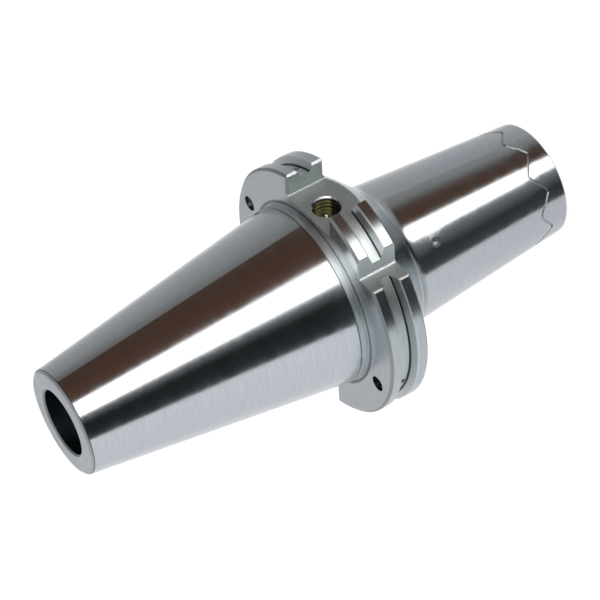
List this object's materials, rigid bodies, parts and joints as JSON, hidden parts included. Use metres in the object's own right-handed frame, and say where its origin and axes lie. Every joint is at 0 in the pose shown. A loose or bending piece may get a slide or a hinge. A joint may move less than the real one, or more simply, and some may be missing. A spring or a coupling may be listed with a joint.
{
  "type": "shrink fit chuck",
  "caption": "Steep-taper shrink fit tool holder: ground taper, flange with gripper groove, key slots and notch, and a tapered nose that holds a round shank by heat shrinking.",
  "frame": {"origin": "centre of the nose face, where the tool goes in and on which the chuck stands", "axes": "+Z along the chuck's axis, from the nose to the small end of the taper; +X through the middle of the drive-key slot that has the data-chip bore"},
  "size_m": [0.0936, 0.0974, 0.2042],
  "materials": {
    "ground_steel": "fine ground and polished, bright",
    "plated_steel": "bright",
    "plug_steel": "turned",
    "black_steel": "black oxide"
  },
  "bodies": {
    "body": {"chuck_body": "ground_steel", "coolant_set_screw_1": "plated_steel", "coolant_set_screw_2": "black_steel", "cross_plug_1": "plug_steel", "cross_plug_2": "plug_steel", "nose_grub_screw": "plated_steel"},
    "stop": {"length_stop_screw": "black_steel"}
  },
  "joints": [
    {"name": "stop_screw_travel", "type": "slide", "parent": "body", "child": "stop", "axis": [0, 0, -1], "range_m": [0, 0.01]}
  ]
}
